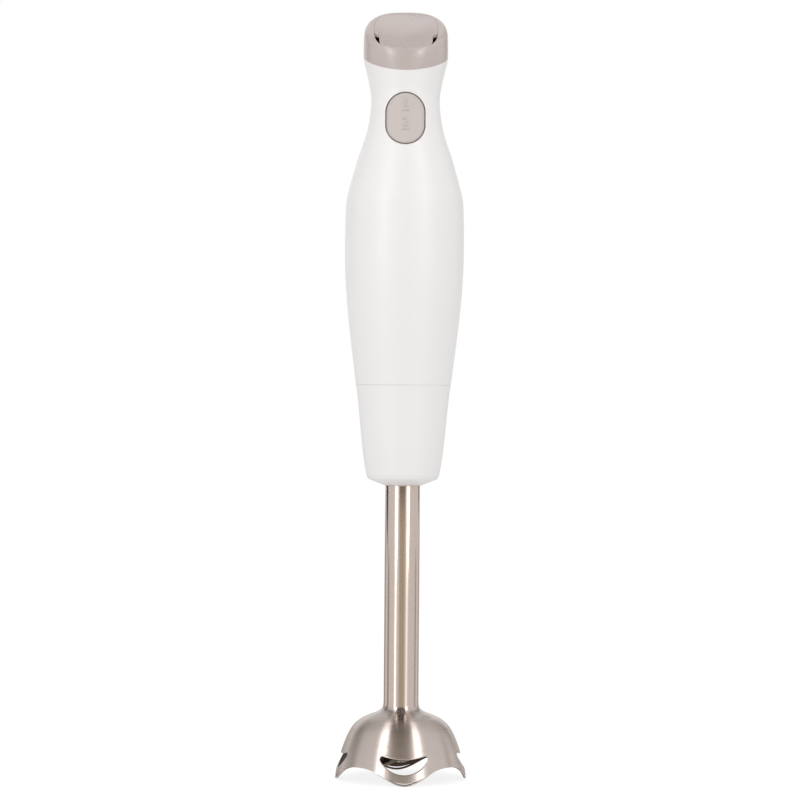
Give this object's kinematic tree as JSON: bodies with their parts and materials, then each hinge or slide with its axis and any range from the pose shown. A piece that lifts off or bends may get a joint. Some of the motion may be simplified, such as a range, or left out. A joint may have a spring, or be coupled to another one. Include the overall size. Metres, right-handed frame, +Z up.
{
  "type": "immersion blender",
  "caption": "Hand-held immersion blender: slim white grip with a sloping vented cap and oval button, and a screw-on steel foot whose lobed, slotted guard covers the blade.",
  "frame": {"origin": "on the ground under the middle of the blade guard, where its four feet stand", "axes": "+Z up along the tube, and +Y to the back, the way the cord leaves; the button faces -Y"},
  "size_m": [0.064, 0.064, 0.3756],
  "materials": {
    "white_shell": "satin moulded white",
    "beige_shell": "satin moulded grey-beige",
    "inner_plastic": "plain moulded grey",
    "dark_plastic": "plain moulded black",
    "white_nylon": "plain nylon",
    "grey_rubber": "smooth soft rubber",
    "black_rubber": "smooth soft rubber",
    "stainless": "satin polished stainless steel",
    "zinc_steel": "zinc plated",
    "bearing_bronze": "oil-filled sintered bronze",
    "copper": "enamelled copper wire and copper bars",
    "brass_part": "pressed brass",
    "magnet": "sintered ferrite",
    "core_steel": "stacked steel sheets",
    "carbon": "pressed carbon",
    "board_green": "green lacquered glass laminate",
    "yellow_case": "moulded box",
    "wire_red": "insulated wire"
  },
  "bodies": {
    "motor_unit": {"main_housing": "white_shell", "top_cap": "beige_shell", "cap_panel": "beige_shell", "cord_gland": "grey_rubber", "cord_clamp": "inner_plastic", "clamp_screws": "zinc_steel", "inner_frame": "inner_plastic", "frame_screws": "zinc_steel", "circuit_board": "board_green", "suppressor_capacitor": "yellow_case", "rectifier_diodes": "dark_plastic", "choke_coils": "copper", "switch_body": "dark_plastic", "button_springs": "zinc_steel", "motor_can": "zinc_steel", "field_magnets": "magnet", "brush_plate": "dark_plastic", "brush_holders": "brass_part", "carbon_brushes": "carbon", "brush_springs": "zinc_steel", "upper_motor_bearing": "bearing_bronze", "lower_motor_bearing": "bearing_bronze", "lower_damper": "black_rubber", "upper_damper": "black_rubber", "coupling_socket": "inner_plastic", "motor_screws": "zinc_steel", "motor_leads": "wire_red"},
    "button": {"speed_button": "beige_shell"},
    "switch_pin": {"switch_plunger": "white_nylon"},
    "armature": {"armature_shaft": "stainless", "armature_core": "core_steel", "armature_windings": "copper", "commutator": "copper", "cooling_fan": "white_nylon", "drive_coupling": "dark_plastic"},
    "seal_ring": {"foot_seal": "grey_rubber"},
    "foot": {"foot_collar": "white_shell", "collar_core": "inner_plastic", "foot_tube": "stainless", "blade_guard": "stainless", "guard_hub": "stainless", "upper_bush": "bearing_bronze", "lower_bush": "bearing_bronze", "shaft_seal": "black_rubber"},
    "cutter": {"blade_shaft": "stainless", "driven_coupling": "white_nylon", "thrust_washer": "white_nylon", "retaining_clip": "zinc_steel", "spacer_sleeve": "stainless", "blade": "stainless", "blade_nut": "stainless"}
  },
  "joints": [
    {"name": "motor_spin", "type": "hinge", "parent": "motor_unit", "child": "armature", "pos_m": [0, 0, 0.2], "axis": [0, 0, 1], "continuous": true},
    {"name": "foot_twist", "type": "hinge", "parent": "seal_ring", "child": "foot", "pos_m": [0, 0, 0.1786], "axis": [0, 0, -1], "range_deg": [0, 180]},
    {"name": "foot_draw", "type": "slide", "parent": "motor_unit", "child": "seal_ring", "axis": [0, 0, -1], "range_m": [0, 0.0121]},
    {"name": "cutter_draw", "type": "slide", "parent": "armature", "child": "cutter", "axis": [0, 0, -1], "range_m": [0, 0.0121]},
    {"name": "button_press", "type": "slide", "parent": "motor_unit", "child": "button", "axis": [0, 1, 0], "range_m": [0, 0.002], "stiffness_N_per_m": 1200, "springref_m": -0.001, "deforming": ["button_springs"]},
    {"name": "switch_press", "type": "slide", "parent": "motor_unit", "child": "switch_pin", "axis": [0, 1, 0], "range_m": [0, 0.002]}
  ],
  "couplings": [
    {"joint": "foot_draw", "follows": "foot_twist", "m_per_rad": 0.0038197},
    {"joint": "cutter_draw", "follows": "foot_twist", "m_per_rad": 0.0038197},
    {"joint": "switch_press", "follows": "button_press", "ratio": 1}
  ]
}
